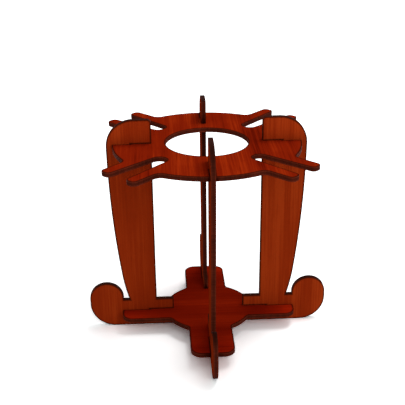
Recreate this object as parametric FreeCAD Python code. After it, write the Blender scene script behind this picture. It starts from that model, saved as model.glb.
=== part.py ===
import FreeCAD, Part
import math
import os

# A table-top holder, cut from flat wooden sheet. Four identical uprights stand
# on the floor like the fins of a cross. Each is pushed inward over a low base
# plate and a high top plate. The base plate carries what stands in the middle,
# and the hole in the top plate steadies it. Four slots on the diagonals of the
# top plate open outward and flare a little. Millimetres, +Z up, -Y is the
# front. The origin is on the floor, on the upright axis through the middle.

# Driving dimensions: the sheet and its joints
sheet = 5.0                 # thickness of every piece
slot_clearance = 0.2        # a slot is this much wider than the sheet in it
end_clearance = 0.2         # gap between the two ends of a half-lap joint
cut_overrun = 1.0           # how far a cut reaches past the open side of its piece

# Driving dimensions: the upright, as radius from the middle axis and height
upright_height = 244.0
arm_inner_r = 58.0          # straight inner edge of the arm
arm_outer_r = 105.5         # widest part of the arm
arm_inner_corner = 4.0      # radius of the top corner on the inner side
arm_outer_corner = 29.0     # radius of the top corner on the outer side
arm_side_radius = 1115.0    # long gentle curve of the outer edge
arm_heel_radius = 208.0     # tighter curve where the outer edge runs in
arm_heel_height = 65.0      # height where the two outer curves meet
bar_height = 32.5           # top of the low bar that carries the arm
bar_inner_r = 39.0          # inner end of the bar
notch_width = 6.8           # narrow gap between the arm and the foot
foot_reach = 27.0           # how far the foot stands out past the arm's widest part
foot_height = 53.5          # top of the round foot
foot_width = 37.5           # width of the round foot
foot_corner = 28.0          # radius of the foot's lower outer corner

# Driving dimensions: the base plate
base_top = 19.5             # height of its upper face
base_hub_r = 48.5           # round middle
base_tongue_width = 46.5    # each of the four tongues
base_tongue_r = 96.2        # where a tongue ends
base_tongue_corner = 11.5   # rounding of each tongue's end
base_hub_fillet = 5.0       # inside corner between hub and tongue
base_joint_r = 66.0         # where the upright's slot ends and the plate's starts

# Driving dimensions: the top plate
top_drop = 26.0             # from the top of the uprights down to its upper face
top_hole_r = 43.5           # round hole in the middle
top_edge_r = 99.0           # round edge between the pairs of prongs
top_joint_r = 79.5          # where the upright's slot ends and the plate's starts
prong_tip = 129.0           # the prongs' ends, measured along the diagonal
prong_pair_width = 47.5     # over both prongs of a pair
prong_corner = 5.0          # rounding of each prong's end
prong_fillet = 8.5          # inside corner between round edge and prong
stem_slot_start = 63.0      # closed end of the slot between a pair, on the diagonal
stem_slot_width = 16.5      # width at the closed end
stem_slot_flare = 3.0       # degrees that each wall opens outward

# Places that follow: the foot keeps outside the arm, and the top plate keeps
# its distance from the top of the uprights
foot_r = arm_outer_r + foot_reach
top_top = upright_height - top_drop

SIDES = {"right": 0, "back": 90, "left": 180, "front": 270}
ORIGIN = FreeCAD.Vector(0, 0, 0)
UP = FreeCAD.Vector(0, 0, 1)


class Outline:
    """A closed flat outline, drawn point by point in two coordinates."""

    def __init__(self, start, place):
        self.place = place
        self.start = start
        self.here = start
        self.edges = []

    def line(self, to):
        """A straight line to the point to, or nothing if the outline is there already."""
        if to != self.here:
            self.edges.append(Part.LineSegment(self.place(*self.here), self.place(*to)).toShape())
        self.here = to

    def arc(self, centre, to, turn):
        """An arc about centre, to the point to; turn is +1 for anticlockwise."""
        a0 = math.atan2(self.here[1] - centre[1], self.here[0] - centre[0])
        a1 = math.atan2(to[1] - centre[1], to[0] - centre[0])
        sweep = (turn * (a1 - a0)) % (2 * math.pi)
        middle = a0 + turn * sweep / 2
        radius = math.hypot(to[0] - centre[0], to[1] - centre[1])
        on_arc = (centre[0] + radius * math.cos(middle), centre[1] + radius * math.sin(middle))
        arc = Part.Arc(self.place(*self.here), self.place(*on_arc), self.place(*to))
        self.edges.append(arc.toShape())
        self.here = to

    def face(self):
        """The outline, closed with a straight line and filled."""
        self.line(self.start)
        return Part.Face(Part.Wire(self.edges))


def turned(shape, degrees):
    """A copy of the shape, turned about the middle axis."""
    copy = shape.copy()
    copy.rotate(ORIGIN, UP, degrees)
    return copy


def block(low, high):
    """A plain box between two corners."""
    size = [b - a for a, b in zip(low, high)]
    return Part.makeBox(*size, FreeCAD.Vector(*low))


def upright():
    """The upright on the +X side: arm, low bar and round foot in one sheet."""
    lobe_r = foot_width / 2
    lobe = (foot_r - lobe_r, foot_height - lobe_r)
    top_corner = (arm_outer_r - arm_outer_corner, upright_height - arm_outer_corner)
    inner_corner = (arm_inner_r + arm_inner_corner, upright_height - arm_inner_corner)

    # The side curve leaves the top corner upright. The heel curve takes over
    # from it and ends on top of the bar.
    side_centre = (arm_outer_r - arm_side_radius, top_corner[1])
    drop = (top_corner[1] - arm_heel_height) / arm_side_radius
    heel_top = (side_centre[0] + arm_side_radius * math.sqrt(1 - drop ** 2), arm_heel_height)
    heel_bottom = (foot_r - foot_width - notch_width, bar_height)
    heel_middle = arc_centre(heel_bottom, heel_top, arm_heel_radius)

    # The foot's round inner side ends level with its centre, or on top of the
    # bar where the bar is higher
    lobe_end_z = max(lobe[1], bar_height)
    lobe_end_r = lobe[0] - math.sqrt(lobe_r ** 2 - (lobe_end_z - lobe[1]) ** 2)

    edge = Outline((bar_inner_r, 0), lambda r, z: FreeCAD.Vector(r, -sheet / 2, z))
    edge.line((foot_r - foot_corner, 0))
    edge.arc((foot_r - foot_corner, foot_corner), (foot_r, foot_corner), 1)
    edge.line((foot_r, lobe[1]))
    edge.arc(lobe, (lobe_end_r, lobe_end_z), 1)
    edge.line((lobe_end_r, bar_height))
    edge.line(heel_bottom)
    edge.arc(heel_middle, heel_top, 1)
    edge.arc(side_centre, (arm_outer_r, top_corner[1]), 1)
    edge.arc(top_corner, (top_corner[0], upright_height), 1)
    edge.line((inner_corner[0], upright_height))
    edge.arc(inner_corner, (arm_inner_r, inner_corner[1]), 1)
    edge.line((arm_inner_r, bar_height))
    edge.line((bar_inner_r, bar_height))
    body = edge.face().extrude(FreeCAD.Vector(0, sheet, 0))
    body = body.cut(upright_slot(bar_inner_r, base_joint_r, base_top))
    return body.cut(upright_slot(arm_inner_r, top_joint_r, top_top))


def arc_centre(low, high, radius):
    """Centre, on the inner side, of an arc of this radius between two points."""
    chord = math.dist(low, high)
    reach = math.sqrt(radius ** 2 - (chord / 2) ** 2)
    along = ((high[0] - low[0]) / chord, (high[1] - low[1]) / chord)
    middle = ((low[0] + high[0]) / 2, (low[1] + high[1]) / 2)
    return (middle[0] - along[1] * reach, middle[1] + along[0] * reach)


def upright_slot(from_r, joint_r, plate_top):
    """The slot that runs in from the upright's inner edge and takes a plate."""
    spare = slot_clearance / 2
    half = sheet / 2 + cut_overrun
    low = (from_r - cut_overrun, -half, plate_top - sheet - spare)
    high = (joint_r + end_clearance / 2, half, plate_top + spare)
    return block(low, high)


def plate_slots(joint_r, beyond_r, plate_top):
    """Four slots, open outward, that take the uprights."""
    half = (sheet + slot_clearance) / 2
    low = (joint_r - end_clearance / 2, -half, plate_top - sheet - cut_overrun)
    high = (beyond_r + cut_overrun, half, plate_top + cut_overrun)
    slot = block(low, high)
    return [turned(slot, angle) for angle in SIDES.values()]


def fourfold(quarter, start, plate_top):
    """A plate whose outline repeats a quarter four times about the axis."""
    bottom = plate_top - sheet
    turn = 0.0

    def place(x, y):
        c, s = math.cos(turn), math.sin(turn)
        return FreeCAD.Vector(x * c - y * s, x * s + y * c, bottom)

    edges = []
    for step in range(4):
        turn = step * math.pi / 2
        side = Outline(start, place)
        quarter(side)
        edges += side.edges
    return Part.Face(Part.Wire(edges)).extrude(UP * sheet)


def beside_round(round_r, half_width, fillet):
    """Points of the fillet between a round edge and a straight side.

    The straight side runs outward along +X at half_width. Returned are the
    fillet's centre, its end on the round edge and its end on the side.
    """
    reach = round_r + fillet
    centre = (math.sqrt(reach ** 2 - (half_width + fillet) ** 2), half_width + fillet)
    on_round = (centre[0] * round_r / reach, centre[1] * round_r / reach)
    return centre, on_round, (centre[0], half_width)


def mirrored(point):
    return (point[0], -point[1])


def rotated(point, degrees):
    a = math.radians(degrees)
    c, s = math.cos(a), math.sin(a)
    return (point[0] * c - point[1] * s, point[0] * s + point[1] * c)


def base_plate():
    """A round hub with four slotted tongues."""
    half = base_tongue_width / 2
    corner = base_tongue_corner
    centre, on_round, on_side = beside_round(base_hub_r, half, base_hub_fillet)

    def quarter(side):
        side.arc(mirrored(centre), mirrored(on_side), -1)
        side.line((base_tongue_r - corner, -half))
        side.arc((base_tongue_r - corner, corner - half), (base_tongue_r, corner - half), 1)
        side.line((base_tongue_r, half - corner))
        side.arc((base_tongue_r - corner, half - corner), (base_tongue_r - corner, half), 1)
        side.line(on_side)
        side.arc(centre, on_round, -1)
        side.arc((0, 0), rotated(mirrored(on_round), 90), 1)

    plate = fourfold(quarter, mirrored(on_round), base_top)
    return plate.cut(plate_slots(base_joint_r, base_tongue_r, base_top))


def top_plate():
    """A ring with four pairs of prongs on the diagonals and four slots."""
    half = prong_pair_width / 2
    corner = prong_corner
    centre, on_round, on_side = beside_round(top_edge_r, half, prong_fillet)

    # Each wall of the slot is a tangent to its round closed end
    flare = math.radians(stem_slot_flare)
    end_r = stem_slot_width / 2
    end = (stem_slot_start + end_r, 0)
    leave = (end[0] - end_r * math.sin(flare), end_r * math.cos(flare))

    def wall(x):
        return leave[1] + (x - leave[0]) * math.tan(flare)

    # The rounding between the flared wall and the prong's flat end
    round_x = prong_tip - corner
    round_y = wall(round_x) + corner / math.cos(flare)
    on_wall = (round_x + corner * math.sin(flare), round_y - corner * math.cos(flare))

    def diagonal(point):
        return rotated(point, 45)

    def quarter(side):
        side.arc(diagonal(mirrored(centre)), diagonal(mirrored(on_side)), -1)
        side.line(diagonal((prong_tip - corner, -half)))
        side.arc(diagonal((prong_tip - corner, corner - half)), diagonal((prong_tip, corner - half)), 1)
        side.line(diagonal((prong_tip, -round_y)))
        side.arc(diagonal((round_x, -round_y)), diagonal(mirrored(on_wall)), 1)
        side.line(diagonal(mirrored(leave)))
        side.arc(diagonal(end), diagonal(leave), -1)
        side.line(diagonal(on_wall))
        side.arc(diagonal((round_x, round_y)), diagonal((prong_tip, round_y)), 1)
        side.line(diagonal((prong_tip, half - corner)))
        side.arc(diagonal((prong_tip - corner, half - corner)), diagonal((prong_tip - corner, half)), 1)
        side.line(diagonal(on_side))
        side.arc(diagonal(centre), diagonal(on_round), -1)
        side.arc((0, 0), rotated(diagonal(mirrored(on_round)), 90), 1)

    plate = fourfold(quarter, diagonal(mirrored(on_round)), top_top)
    hole_bottom = FreeCAD.Vector(0, 0, top_top - sheet - cut_overrun)
    hole = Part.makeCylinder(top_hole_r, sheet + 2 * cut_overrun, hole_bottom)
    return plate.cut([hole] + plate_slots(top_joint_r, top_edge_r, top_top))


def main():
    os.makedirs("parts", exist_ok=True)
    nodes = {"base_plate": base_plate(), "top_plate": top_plate()}
    for side, angle in SIDES.items():
        nodes["upright_" + side] = turned(upright(), angle)
    for name, shape in nodes.items():
        solid = shape.Solids[0]
        solid.exportStep("parts/" + name + ".step")
        box = solid.BoundBox
        print(name, round(solid.Volume), "mm3,", round(box.XLength, 1), round(box.YLength, 1),
              round(box.ZMin, 1), round(box.ZMax, 1))


main()
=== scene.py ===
import math

import bmesh
import bpy
from mathutils import Matrix, Vector
from mathutils.geometry import tessellate_polygon


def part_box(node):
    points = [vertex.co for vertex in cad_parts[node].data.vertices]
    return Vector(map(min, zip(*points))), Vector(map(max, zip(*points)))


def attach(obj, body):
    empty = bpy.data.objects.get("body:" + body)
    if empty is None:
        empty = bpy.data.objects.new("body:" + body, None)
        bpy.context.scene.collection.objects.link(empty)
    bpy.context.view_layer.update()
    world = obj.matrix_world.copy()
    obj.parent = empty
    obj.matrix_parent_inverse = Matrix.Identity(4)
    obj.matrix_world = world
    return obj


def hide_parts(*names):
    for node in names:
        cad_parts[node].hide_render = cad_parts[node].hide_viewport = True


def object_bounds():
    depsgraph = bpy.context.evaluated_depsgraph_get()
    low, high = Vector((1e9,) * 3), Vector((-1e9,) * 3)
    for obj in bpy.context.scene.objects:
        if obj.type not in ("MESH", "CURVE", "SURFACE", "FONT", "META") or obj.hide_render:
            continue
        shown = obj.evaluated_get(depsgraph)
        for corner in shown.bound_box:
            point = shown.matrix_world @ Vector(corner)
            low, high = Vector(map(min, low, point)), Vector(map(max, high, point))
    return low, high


# The look of a table-top holder made of stained, laser-cut plywood. Metres, in
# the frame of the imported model: +Z up, -Y the front, the floor at height zero.

MM = 0.001
X, Y, Z = 0, 1, 2

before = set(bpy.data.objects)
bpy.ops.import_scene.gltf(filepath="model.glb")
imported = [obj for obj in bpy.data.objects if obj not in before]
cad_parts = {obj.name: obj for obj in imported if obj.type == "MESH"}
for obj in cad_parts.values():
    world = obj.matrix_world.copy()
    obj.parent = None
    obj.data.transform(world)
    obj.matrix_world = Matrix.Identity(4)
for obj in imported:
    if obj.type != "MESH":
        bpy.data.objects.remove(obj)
cad_low, cad_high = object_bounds()

# Stain colours, linear: the dark, middle and light tones of each kind of board. The
# base plate's darker, redder tones are partly its own stain and partly painted shade,
# for the shade under the top plate and what stands in the holder.
UPRIGHT_STAIN = ((0.165, 0.0120, 0.0016, 1), (0.262, 0.0225, 0.0030, 1), (0.345, 0.0370, 0.0052, 1))
TOP_STAIN = ((0.112, 0.0046, 0.0007, 1), (0.212, 0.0112, 0.0014, 1), (0.330, 0.0250, 0.0028, 1))
BASE_STAIN_AND_SHADE = ((0.125, 0.0040, 0.0006, 1), (0.200, 0.0076, 0.0010, 1), (0.270, 0.0125, 0.0015, 1))

# Painted light and shade: where a board's colour is scaled a little lighter, along
# its height or away from the middle axis, from one place to another, and the
# scale at both. On the uprights it stands for more light near their tops, and on
# the base plate for the shade that falls on its middle.
PAINTED_LIGHT_TOWARDS_TOP = ("height", 216 * MM, 232 * MM, 1.0, 1.28)
# Painted shade: the base plate is darker near its middle, lighter towards its ends
PAINTED_LIGHT_TOWARDS_ENDS = ("reach", 55 * MM, 95 * MM, 0.95, 1.45)
EVEN = ("height", 0.0, 1.0, 1.0, 1.0)

# Each board: the axis across its thickness, the axis its grain runs along, its
# stain, how much lighter its veneer took that stain, where painted light and shade
# scale its colour, and a number that shifts its grain so that no two boards look alike
BOARDS = {
    "base_plate": (Z, X, BASE_STAIN_AND_SHADE, 0.0, PAINTED_LIGHT_TOWARDS_ENDS, 1),
    "top_plate": (Z, Y, TOP_STAIN, 0.015, EVEN, 42),
    # The right upright's lighter veneer is partly its own tone and partly painted light, for the stronger
    # light on its side
    "upright_right": (Y, Z, UPRIGHT_STAIN, 0.065, PAINTED_LIGHT_TOWARDS_TOP, 3),
    "upright_back": (X, Z, UPRIGHT_STAIN, 0.02, PAINTED_LIGHT_TOWARDS_TOP, 4),
    "upright_left": (Y, Z, UPRIGHT_STAIN, 0.0, PAINTED_LIGHT_TOWARDS_TOP, 5),
    "upright_front": (X, Z, UPRIGHT_STAIN, 0.0, PAINTED_LIGHT_TOWARDS_TOP, 6),
}

# Points this close are one. A face belongs to a flat side if more than this
# much of its normal lies across the board. Past this angle an edge is sharp.
SAME_POINT = 0.001 * MM
FLAT_SIDE = 0.99
SHARP_ANGLE = math.radians(28)

# Rings laid inside each face's outline, as distances from it. The first is the
# inner side of the cut's tiny chamfer. The burnt outline fades over the others.
CHAMFER = 0.2 * MM
RINGS = (CHAMFER, 0.55 * MM, 1.35 * MM, 2.85 * MM)
DISTANCE = "edge_distance"
FACE_FINISH, EDGE_FINISH = 0, 1

# Patterns of noise: waves per metre along the pattern and across it, detail and
# roughness. The first five are the faces', and the other two the cut edges'.
BANDS = (2.5, 55, 2, 0.5)
FIBRES = (11, 620, 4, 0.62)
PORES = (95, 2300, 2, 0.5)
CLOUDS = (16, 16, 2, 0.5)
SMOKE = (420, 420, 3, 0.6)
STREAKS = (60, 750, 3, 0.55)
PATCHES = (40, 40, 2, 0.5)
NOISE_MIDDLE = 0.5

# How far a board's number shifts its noise along each axis, on faces and edges
FACE_SHIFT = (7.3, 3.1, 5.7)
EDGE_SHIFT = (2.9, 6.1, 4.3)

# The stained faces: the shares of bands, fibres and clouds in the tone, and the
# tones at which the stain is dark, middle and light. Pores show as dark flecks
# over this range of their noise.
TONE_SHARES = (0.42, 0.38, 0.20)
TONES = (0.36, 0.50, 0.64)
FLECK_RANGE = (0.60, 0.72)
FLECK_STRENGTH = 0.35

# The burnt outline of a face: it fades over this distance from the edge, and
# smoke shifts the fading by up to half the ragged width to either side
BURNT = (0.020, 0.0034, 0.0012, 1)
BURN_RANGE = (0.40 * MM, 2.30 * MM)
BURN_RAGGED = 0.9 * MM
BURN_STRENGTH = 0.86

# The faces' surface is matt and mirrors nothing. It is rougher on the fibres,
# which stand out a little, and the flecks are sunk in.
FACE_SPECULAR = 0.0
FACE_ROUGHNESS = 0.46
FIBRE_ROUGHNESS = 0.16
FIBRE_RELIEF = 0.6
FLECK_RELIEF = -0.5
FACE_BUMP = 0.22
FACE_BUMP_DEPTH = 0.12 * MM

# The plies in a cut edge, by distance from the middle of the board's thickness:
# where the core ends, where the glue line lies and how far it fades to either
# side, and where the burnt rim starts
CORE_RANGE = (1.15 * MM, 1.30 * MM)
GLUE_PLACE = 1.25 * MM
GLUE_RANGE = (0.04 * MM, 0.14 * MM)
RIM_RANGE = (2.05 * MM, 2.45 * MM)

# How light a cut edge is between its two colours: everywhere, and what streaks
# and patches add. Then the share of it that is lost in each darker part.
CHAR_DARK = (0.014, 0.0026, 0.0012, 1)
CHAR_LIGHT = (0.152, 0.0205, 0.0078, 1)
EDGE_LIGHT = 0.30
STREAK_RANGE = (0.30, 0.72)
STREAK_LIGHT = 0.34
PATCH_RANGE = (0.30, 0.70)
PATCH_LIGHT = 0.46
CORE_LOSS = 0.52
GLUE_LOSS = 0.35
RIM_LOSS = 0.55
# Painted shade on cut edges that face up or down: where it sets in by the height of their normal, and the
# share lost
UPWARD_SHADE_RANGE = (0.35, 0.95)
UPWARD_SHADE_LOSS = 0.80

# The cut edges' surface, with the glue lines sunk in
EDGE_SPECULAR = 0.02
EDGE_ROUGHNESS = 0.7
GLUE_RELIEF = 0.4
EDGE_BUMP = 0.3
EDGE_BUMP_DEPTH = 0.1 * MM

# The floor reaches this far each way and lies just below what stands on it. Its
# own glow grows over this range of distance from the middle to this strength.
FLOOR_HALF = 6.0
FLOOR_DROP = 0.05 * MM
FLOOR_COLOUR = (0.82, 0.82, 0.82, 1)
FLOOR_SEEN = (0.90, 0.95, 0.95, 1)
GLOW_RANGE = (0.15, 1.0)
GLOW_STRENGTH = 0.40
BLACK = (0, 0, 0, 1)
WHITE = (1, 1, 1, 1)

# Strength of the white world as a light, and as it is seen
WORLD_LIGHT = 0.50
WORLD_SEEN = 1.0

# Each lamp: its name, its place, the side of its square and its power in watts
LAMPS = (
    ("key", (0.42, 0.26, 1.62), 0.8, 12.0),
    ("fill", (0.55, -1.50, 0.85), 1.1, 9.0),
)

# The photograph's camera, in the same frame. The sensor's width is in
# millimetres, and the picture's width and the focal length are in pixels.
CAMERA_PLACE = Vector((-0.04806, -0.83750, 0.51852))
CAMERA_YAW = math.radians(-2.930)
CAMERA_PITCH = math.radians(23.824)
CAMERA_ROLL = math.radians(-0.565)
SENSOR = 36.0
PICTURE_PX = 405
FOCAL_PX = 849.98
CLIP_NEAR = 0.01
CLIP_FAR = 50


class Nodes:
    """A short way to build a node tree."""

    def __init__(self, tree):
        self.tree = tree
        tree.nodes.clear()

    def feed(self, socket, value):
        """Link another node's output to the socket, or give it a plain value."""
        if isinstance(value, bpy.types.NodeSocket):
            self.tree.links.new(value, socket)
        else:
            socket.default_value = value

    def add(self, kind, inputs=None, **settings):
        """A new node with its settings and with some of its inputs fed."""
        node = self.tree.nodes.new(kind)
        for name, value in settings.items():
            setattr(node, name, value)
        for name, value in (inputs or {}).items():
            self.feed(node.inputs[name], value)
        return node

    def maths(self, operation, a, b=0.0, clamp=False):
        """One step of arithmetic."""
        return self.add("ShaderNodeMath", {0: a, 1: b}, operation=operation, use_clamp=clamp).outputs[0]

    def ramp(self, factor, low, high):
        """0 at low, 1 at high, smooth between."""
        inputs = {"Value": factor, "From Min": low, "From Max": high}
        return self.add("ShaderNodeMapRange", inputs, interpolation_type="SMOOTHSTEP").outputs[0]

    def blend(self, factor, first, second):
        """A colour that goes from the first at 0 to the second at 1."""
        node = self.add("ShaderNodeMix", data_type="RGBA")
        sockets = {socket.identifier: socket for socket in node.inputs}
        self.feed(sockets["Factor_Float"], factor)
        self.feed(sockets["A_Color"], first)
        self.feed(sockets["B_Color"], second)
        return {socket.identifier: socket for socket in node.outputs}["Result_Color"]

    def noise(self, place, axis, pattern, shift):
        """Noise in one of the patterns, which runs along the axis."""
        lengthwise, across, detail, roughness = pattern
        scale = [across] * 3
        scale[axis] = lengthwise
        inputs = {"Vector": place, "Scale": scale, "Location": shift}
        moved = self.add("ShaderNodeMapping", inputs).outputs[0]
        inputs = {"Vector": moved, "Scale": 1.0, "Detail": detail, "Roughness": roughness}
        return self.add("ShaderNodeTexNoise", inputs).outputs[0]


def new_material(name):
    """A new material and its empty node tree."""
    material = bpy.data.materials.new(name)
    material.use_nodes = True
    return material, Nodes(material.node_tree)


def new_object(name, data):
    """A new object, linked into the scene."""
    item = bpy.data.objects.new(name, data)
    bpy.context.scene.collection.objects.link(item)
    return item


def finished_mesh(name, shape):
    """The mesh of a shape that needs no more work."""
    mesh = bpy.data.meshes.new(name)
    shape.to_mesh(mesh)
    shape.free()
    return mesh


def painted_light_strength(n, place, painted_light):
    """The painted light and shade at each place of a board, as a scale for its colour."""
    measure, start, end, near, far = painted_light
    if measure == "height":
        where = n.add("ShaderNodeSeparateXYZ", {0: place}).outputs[Z]
    else:
        flat = n.add("ShaderNodeVectorMath", {0: place, 1: (1, 1, 0)}, operation="MULTIPLY").outputs[0]
        where = n.add("ShaderNodeVectorMath", {0: flat}, operation="LENGTH").outputs["Value"]
    return n.maths("ADD", near, n.maths("MULTIPLY", n.ramp(where, start, end), far - near))


def burnt_outline(n, smoke):
    """1 beside a face's outline and 0 inside, with a ragged fading."""
    edge = n.add("ShaderNodeAttribute", attribute_name=DISTANCE).outputs["Fac"]
    drift = n.maths("MULTIPLY", n.maths("SUBTRACT", smoke, NOISE_MIDDLE), BURN_RAGGED)
    gone = n.ramp(n.maths("ADD", edge, drift), *BURN_RANGE)
    return n.maths("SUBTRACT", 1.0, gone, clamp=True)


def stained_face(name, grain, stain, lighter, painted_light, seed):
    """Straight-grained veneer under a red-brown stain, burnt at its outline, with painted light and shade
    that scale its colour in places.
    """
    material, n = new_material(name)
    place = n.add("ShaderNodeTexCoord").outputs["Object"]
    shift = [seed * step for step in FACE_SHIFT]
    bands = n.noise(place, grain, BANDS, shift)
    fibres = n.noise(place, grain, FIBRES, shift)
    pores = n.noise(place, grain, PORES, shift)
    clouds = n.noise(place, grain, CLOUDS, shift)
    smoke = n.noise(place, grain, SMOKE, shift)

    tone = 0.0
    for part, share in zip((bands, fibres, clouds), TONE_SHARES):
        tone = n.maths("ADD", tone, n.maths("MULTIPLY", part, share))
    tone = n.maths("ADD", tone, lighter)
    dark, medium, light = stain
    dark_tone, medium_tone, light_tone = TONES
    colour = n.blend(n.ramp(tone, dark_tone, medium_tone), dark, medium)
    colour = n.blend(n.ramp(tone, medium_tone, light_tone), colour, light)
    flecks = n.ramp(pores, *FLECK_RANGE)
    colour = n.blend(n.maths("MULTIPLY", flecks, FLECK_STRENGTH), colour, dark)
    # Painted light and shade: the colour is scaled lighter towards the uprights' tops and the base plate's
    # ends
    scaled = {0: colour, "Scale": painted_light_strength(n, place, painted_light)}
    colour = n.add("ShaderNodeVectorMath", scaled, operation="SCALE").outputs[0]
    colour = n.blend(n.maths("MULTIPLY", burnt_outline(n, smoke), BURN_STRENGTH), colour, BURNT)

    rough = n.maths("ADD", FACE_ROUGHNESS, n.maths("MULTIPLY", fibres, FIBRE_ROUGHNESS))
    relief = n.maths("MULTIPLY", fibres, FIBRE_RELIEF)
    relief = n.maths("ADD", relief, n.maths("MULTIPLY", flecks, FLECK_RELIEF))
    bump = n.add("ShaderNodeBump", {"Height": relief, "Strength": FACE_BUMP, "Distance": FACE_BUMP_DEPTH})
    shader = n.add("ShaderNodeBsdfPrincipled", {
        "Base Color": colour, "Roughness": rough, "Normal": bump.outputs[0],
        "Specular IOR Level": FACE_SPECULAR,
    })
    n.add("ShaderNodeOutputMaterial", {"Surface": shader.outputs[0]})
    return material


def charred_edge(name, thin, middle, seed):
    """The cut edge: darkened plies across the thickness, streaked by the cut, with painted shade on the
    edges that face up or down.
    """
    material, n = new_material(name)
    place = n.add("ShaderNodeTexCoord").outputs["Object"]
    shift = [seed * step for step in EDGE_SHIFT]
    across = n.add("ShaderNodeSeparateXYZ", {0: place}).outputs[thin]
    depth = n.maths("ABSOLUTE", n.maths("SUBTRACT", across, middle))

    # The core ply shows its fibres end on, so it is darker than the outer two,
    # and a thin line of glue parts it from each
    core = n.maths("SUBTRACT", 1.0, n.ramp(depth, *CORE_RANGE))
    glue_away = n.maths("ABSOLUTE", n.maths("SUBTRACT", depth, GLUE_PLACE))
    glue = n.maths("SUBTRACT", 1.0, n.ramp(glue_away, *GLUE_RANGE))
    rim = n.ramp(depth, *RIM_RANGE)

    # Painted shade: cut edges that face up or down, as the uprights' ends do, are made darker than those
    # that face sideways
    facing = n.add("ShaderNodeTexCoord").outputs["Normal"]
    upward = n.maths("ABSOLUTE", n.add("ShaderNodeSeparateXYZ", {0: facing}).outputs[Z])
    upward_shade = n.ramp(upward, *UPWARD_SHADE_RANGE)

    streaks = n.noise(place, thin, STREAKS, shift)
    patches = n.noise(place, thin, PATCHES, shift)
    light = n.maths("ADD", EDGE_LIGHT, n.maths("MULTIPLY", n.ramp(streaks, *STREAK_RANGE), STREAK_LIGHT))
    light = n.maths("ADD", light, n.maths("MULTIPLY", n.ramp(patches, *PATCH_RANGE), PATCH_LIGHT))
    for layer, loss in ((core, CORE_LOSS), (glue, GLUE_LOSS), (rim, RIM_LOSS), (upward_shade, UPWARD_SHADE_LOSS)):
        kept = n.maths("SUBTRACT", 1.0, n.maths("MULTIPLY", layer, loss))
        light = n.maths("MULTIPLY", light, kept, clamp=True)
    colour = n.blend(light, CHAR_DARK, CHAR_LIGHT)

    relief = n.maths("SUBTRACT", streaks, n.maths("MULTIPLY", glue, GLUE_RELIEF))
    bump = n.add("ShaderNodeBump", {"Height": relief, "Strength": EDGE_BUMP, "Distance": EDGE_BUMP_DEPTH})
    shader = n.add("ShaderNodeBsdfPrincipled", {
        "Base Color": colour, "Roughness": EDGE_ROUGHNESS, "Normal": bump.outputs[0],
        "Specular IOR Level": EDGE_SPECULAR,
    })
    n.add("ShaderNodeOutputMaterial", {"Surface": shader.outputs[0]})
    return material


def outline_loops(faces):
    """The closed outlines of a flat set of faces, with the faces on their left."""
    inside = set(faces)
    following = {}
    for face in faces:
        for corner in face.loops:
            if any(other not in inside for other in corner.edge.link_faces):
                following[corner.vert] = corner.link_loop_next.vert
    loops = []
    while following:
        point = next(iter(following))
        loop = []
        while point in following:
            loop.append(point)
            point = following.pop(point)
        loops.append(loop)
    return loops


def inward_steps(outline, normal):
    """For each point of an outline, how it moves for each metre inward."""
    places = [point.co for point in outline]
    sides = []
    for here, after in zip(places, places[1:] + places[:1]):
        sides.append(normal.cross(after - here).normalized())
    steps = []
    for before, after in zip(sides[-1:] + sides[:-1], sides):
        steps.append((before + after) / (1 + before.dot(after)))
    return steps


def ring_of_faces(shape, outer, inner, finish):
    """The band of faces between two outlines that have the same points."""
    count = len(outer)
    for i in range(count):
        j = (i + 1) % count
        band = shape.faces.new((outer[i], outer[j], inner[j], inner[i]))
        band.material_index = finish


def lay_rings(shape, distance, outline, normal):
    """Lay the rings inside an outline, and return the innermost.

    The first band will be the chamfer, so it has the cut edge's finish.
    """
    steps = inward_steps(outline, normal)
    outer, finish = outline, EDGE_FINISH
    for inset in RINGS:
        inner = [shape.verts.new(point.co + step * inset) for point, step in zip(outline, steps)]
        for point in inner:
            point[distance] = inset
        ring_of_faces(shape, outer, inner, finish)
        outer, finish = inner, FACE_FINISH
    return outer


def fill_middle(shape, rings):
    """Fill a flat side inside its innermost rings."""
    points = [point for ring in rings for point in ring]
    filled = []
    for triangle in tessellate_polygon([[point.co for point in ring] for ring in rings]):
        face = shape.faces.new([points[i] for i in triangle])
        face.material_index = FACE_FINISH
        filled.append(face)
    # Diagonals are kept in the order of their faces, so that each run is alike
    inside = set(filled)
    diagonals = [edge for face in filled for edge in face.edges if inside.issuperset(edge.link_faces)]
    bmesh.ops.beautify_fill(shape, faces=filled, edges=list(dict.fromkeys(diagonals)))


def dress_flat_side(shape, distance, thin, sign):
    """Lay one flat side anew: a chamfer, the rings inside it and the middle."""
    normal = Vector((0, 0, 0))
    normal[thin] = sign
    faces = [face for face in shape.faces if face.normal[thin] * sign > FLAT_SIDE]
    outlines = outline_loops(faces)
    bmesh.ops.delete(shape, geom=faces, context="FACES")
    rings = [lay_rings(shape, distance, outline, normal) for outline in outlines]
    for outline in outlines:
        for point in outline:
            point.co[thin] -= sign * CHAMFER
    fill_middle(shape, rings)


def dress_board(node, thin, face_finish, edge_finish):
    """A copy of the node's board with chamfered faces and its two finishes."""
    shape = bmesh.new()
    shape.from_mesh(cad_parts[node].data)
    bmesh.ops.remove_doubles(shape, verts=shape.verts, dist=SAME_POINT)
    shape.normal_update()
    distance = shape.verts.layers.float.new(DISTANCE)
    for face in shape.faces:
        face.material_index = EDGE_FINISH
    for sign in (1, -1):
        dress_flat_side(shape, distance, thin, sign)
    bmesh.ops.recalc_face_normals(shape, faces=shape.faces)
    for face in shape.faces:
        face.smooth = True

    mesh = finished_mesh(node + "_dressed", shape)
    mesh.set_sharp_from_angle(angle=SHARP_ANGLE)
    mesh.materials.append(face_finish)
    mesh.materials.append(edge_finish)
    piece = new_object(node + "_board", mesh)
    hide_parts(node)
    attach(piece, "root")


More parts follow.
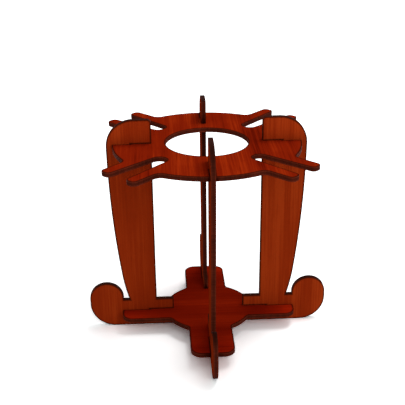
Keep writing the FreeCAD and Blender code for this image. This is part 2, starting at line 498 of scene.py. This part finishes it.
def seen_directly(n):
    """1 for what the camera sees itself, in a mirror or through clear things."""
    path = n.add("ShaderNodeLightPath").outputs
    seen = n.maths("MAXIMUM", path["Is Camera Ray"], path["Is Glossy Ray"])
    return n.maths("MAXIMUM", seen, path["Is Transmission Ray"])


def pale_floor():
    """A matt white that keeps the soft shadow and stays white far away."""
    material, n = new_material("pale_floor")
    matt = n.add("ShaderNodeBsdfDiffuse", {"Color": FLOOR_COLOUR}).outputs[0]

    # The floor is seen paler than it is, so that it is white up to the small
    # shadow under the object. The light that it gives back stays the same.
    paler_colour = n.blend(seen_directly(n), BLACK, FLOOR_SEEN)
    paler = n.add("ShaderNodeBsdfDiffuse", {"Color": paler_colour}).outputs[0]
    matt = n.add("ShaderNodeAddShader", {0: matt, 1: paler}).outputs[0]

    # The lamps fade with distance, so the floor's own white takes over there
    place = n.add("ShaderNodeTexCoord").outputs["Object"]
    away = n.add("ShaderNodeVectorMath", {0: place}, operation="LENGTH").outputs["Value"]
    white = n.maths("MULTIPLY", n.ramp(away, *GLOW_RANGE), GLOW_STRENGTH)
    glow_strength = n.maths("MULTIPLY", seen_directly(n), white)
    glow = n.add("ShaderNodeEmission", {"Color": WHITE, "Strength": glow_strength}).outputs[0]
    both = n.add("ShaderNodeAddShader", {0: matt, 1: glow}).outputs[0]
    n.add("ShaderNodeOutputMaterial", {"Surface": both})
    return material


def add_floor():
    """A wide flat square under the object."""
    shape = bmesh.new()
    corners = []
    for x, y in ((-1, -1), (1, -1), (1, 1), (-1, 1)):
        corners.append(shape.verts.new((x * FLOOR_HALF, y * FLOOR_HALF, -FLOOR_DROP)))
    shape.faces.new(corners)
    mesh = finished_mesh("floor", shape)
    mesh.materials.append(pale_floor())
    floor = new_object("floor", mesh)


def add_world():
    """A white world, weaker as a light than as it is seen."""
    world = bpy.data.worlds.new("studio")
    bpy.context.scene.world = world
    world.use_nodes = True
    n = Nodes(world.node_tree)
    lit = n.add("ShaderNodeBackground", {"Color": WHITE, "Strength": WORLD_LIGHT}).outputs[0]
    seen = n.add("ShaderNodeBackground", {"Color": WHITE, "Strength": WORLD_SEEN}).outputs[0]
    both = n.add("ShaderNodeMixShader", {0: seen_directly(n), 1: lit, 2: seen}).outputs[0]
    n.add("ShaderNodeOutputWorld", {"Surface": both})


def add_lamp(name, place, size, power):
    """A square soft lamp that points at the middle of the object."""
    light = bpy.data.lights.new(name, "AREA")
    light.size = size
    light.energy = power
    lamp = new_object(name, light)
    target = (cad_low + cad_high) / 2
    lamp.location = place
    lamp.rotation_mode = "QUATERNION"
    lamp.rotation_quaternion = (target - Vector(place)).to_track_quat("-Z", "Y")


def add_camera():
    """The camera that took the photograph."""
    data = bpy.data.cameras.new("camera")
    data.sensor_width = SENSOR
    data.lens = FOCAL_PX / PICTURE_PX * SENSOR
    data.clip_start = CLIP_NEAR
    data.clip_end = CLIP_FAR
    camera = new_object("camera", data)
    turn = Matrix.Rotation(CAMERA_YAW, 4, "Z")
    tilt = Matrix.Rotation(math.pi / 2 - CAMERA_PITCH, 4, "X")
    roll = Matrix.Rotation(CAMERA_ROLL, 4, "Z")
    camera.matrix_world = Matrix.Translation(CAMERA_PLACE) @ turn @ tilt @ roll
    bpy.context.scene.camera = camera


for node, (thin, grain, stain, lighter, painted_light, seed) in BOARDS.items():
    face_finish = stained_face(node + "_face", grain, stain, lighter, painted_light, seed)
    low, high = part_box(node)
    edge_finish = charred_edge(node + "_edge", thin, (low[thin] + high[thin]) / 2, seed)
    dress_board(node, thin, face_finish, edge_finish)
add_floor()
add_world()
for name, place, size, power in LAMPS:
    add_lamp(name, place, size, power)
add_camera()
bpy.context.scene.view_settings.view_transform = "Standard"
